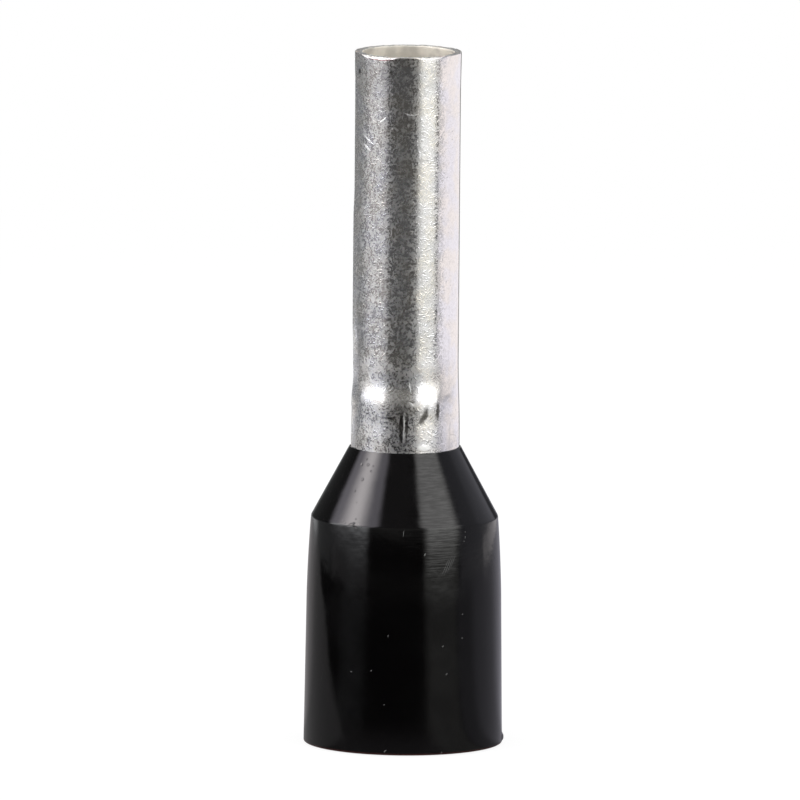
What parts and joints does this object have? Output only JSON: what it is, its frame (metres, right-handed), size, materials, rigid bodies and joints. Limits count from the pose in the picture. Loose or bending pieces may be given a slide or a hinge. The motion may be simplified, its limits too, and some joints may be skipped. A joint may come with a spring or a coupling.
{
  "type": "wire ferrule",
  "caption": "Insulated wire-end ferrule: a tin-plated copper tube, flared inside a black moulded collar, that is crimped on a stranded conductor",
  "frame": {"origin": "on the axis, in the plane of the collar's mouth, on which the ferrule stands", "axes": "+Z runs along the axis from the collar's mouth to the tube's rim; +X and +Y are any two directions across it"},
  "size_m": [0.004, 0.004, 0.014],
  "materials": {
    "tinned_copper": "satin",
    "black_collar": "gloss"
  },
  "bodies": {
    "root": {"contact_tube": "tinned_copper", "insulating_collar": "black_collar"}
  },
  "joints": []
}
